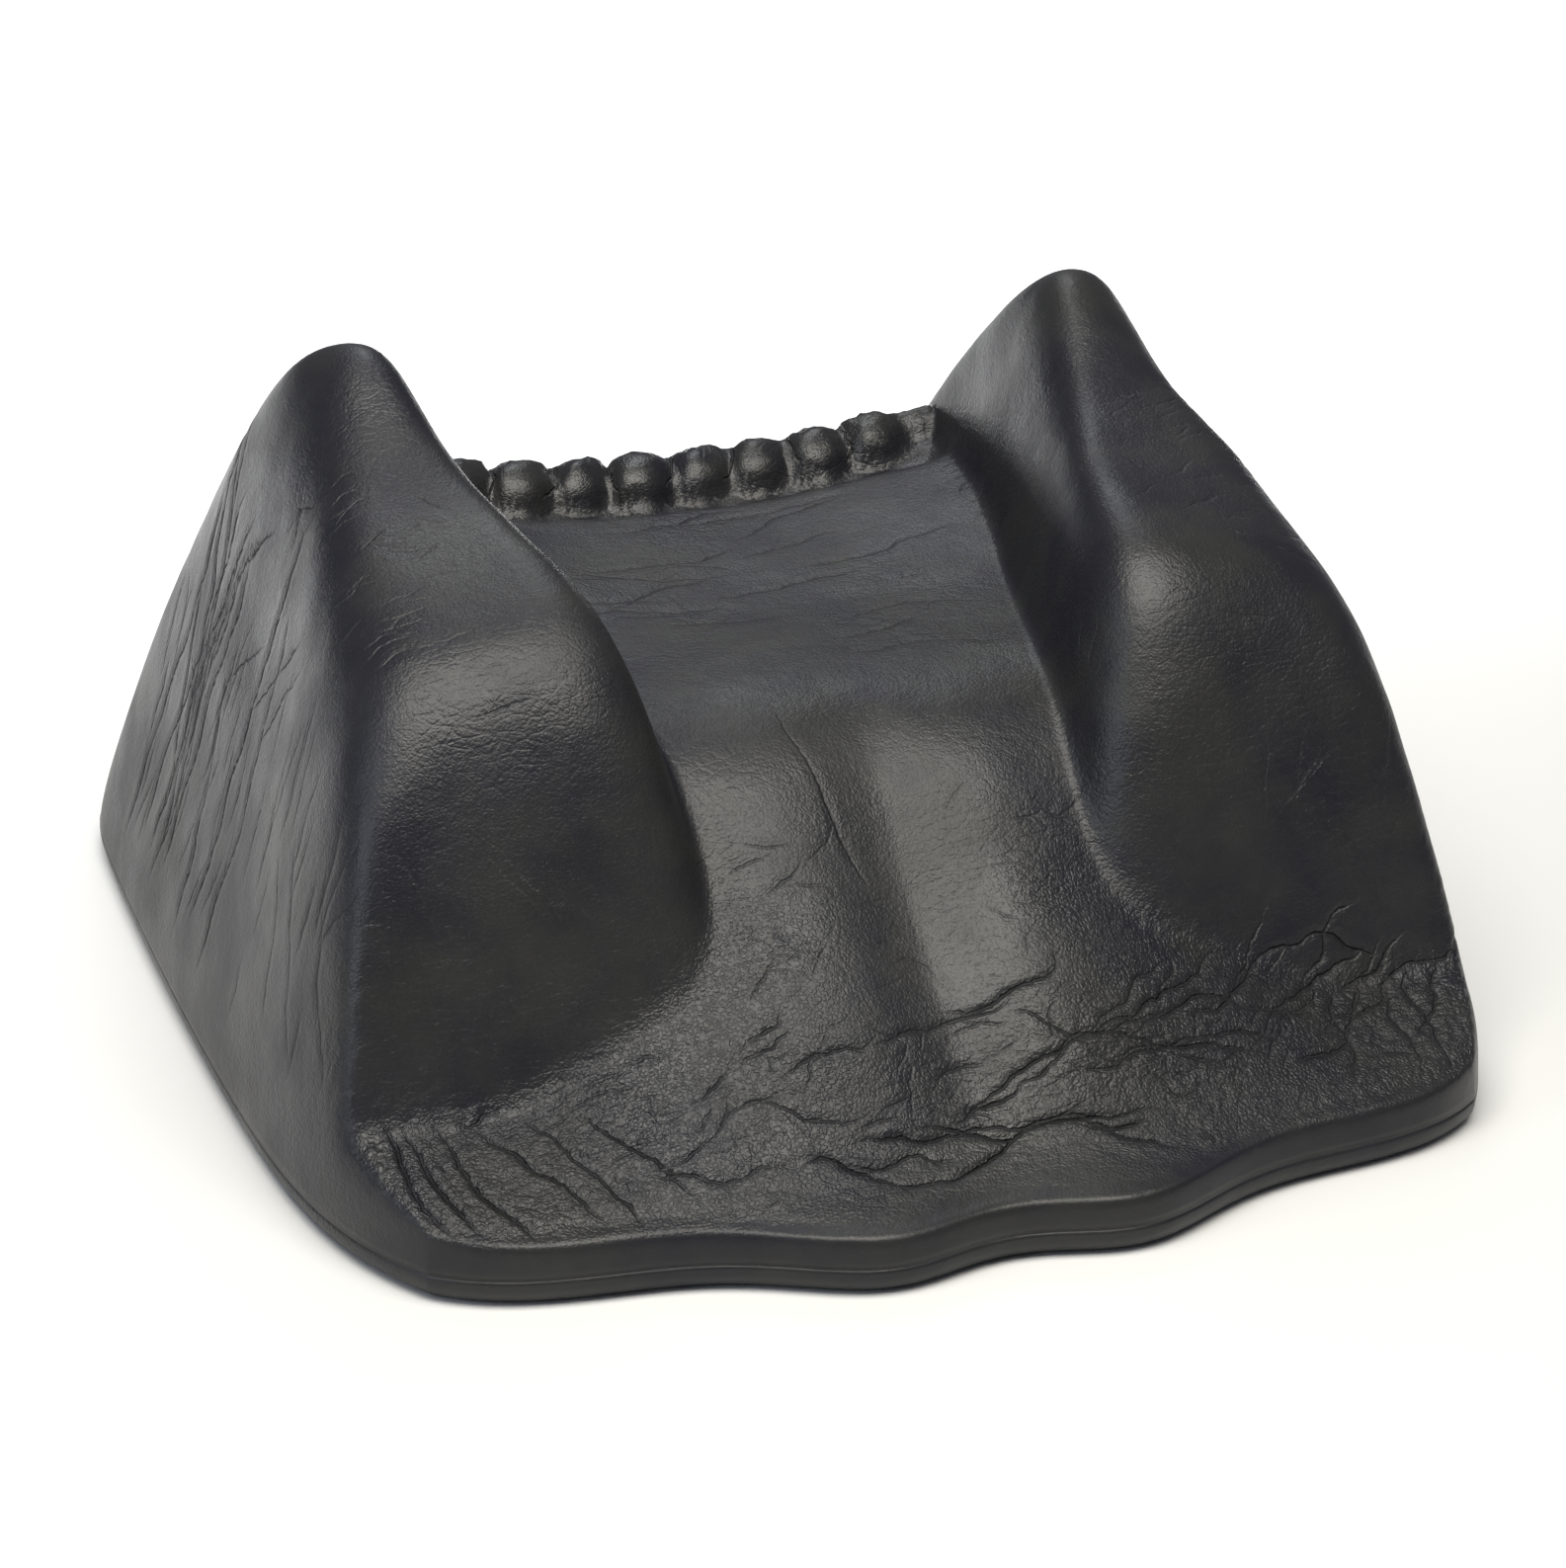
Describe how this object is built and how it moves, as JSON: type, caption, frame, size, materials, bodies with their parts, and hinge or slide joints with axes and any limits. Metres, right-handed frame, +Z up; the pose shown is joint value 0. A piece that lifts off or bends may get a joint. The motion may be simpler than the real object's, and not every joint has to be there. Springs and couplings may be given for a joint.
{
  "type": "neck and shoulder rest",
  "caption": "Moulded foam neck and shoulder rest with two tall prongs, a saddle between them, a bead row behind it, and a ridged ramp down to a scalloped front edge.",
  "frame": {"origin": "middle of the flat base, under the centre of the bounding box", "axes": "+Z up from the base, +Y towards the head end with the bead row, +X to the right seen from the shoulder end"},
  "size_m": [0.26, 0.2792, 0.1417],
  "materials": {
    "foam": "open-cell soft polyurethane foam",
    "skin": "semi-matt charcoal moulded skin with leather grain and creases",
    "base": "matt charcoal moulded skin with a fine grain"
  },
  "bodies": {
    "root": {"foam_core": "foam", "upper_skin": "skin", "base_skin": "base"}
  },
  "joints": []
}
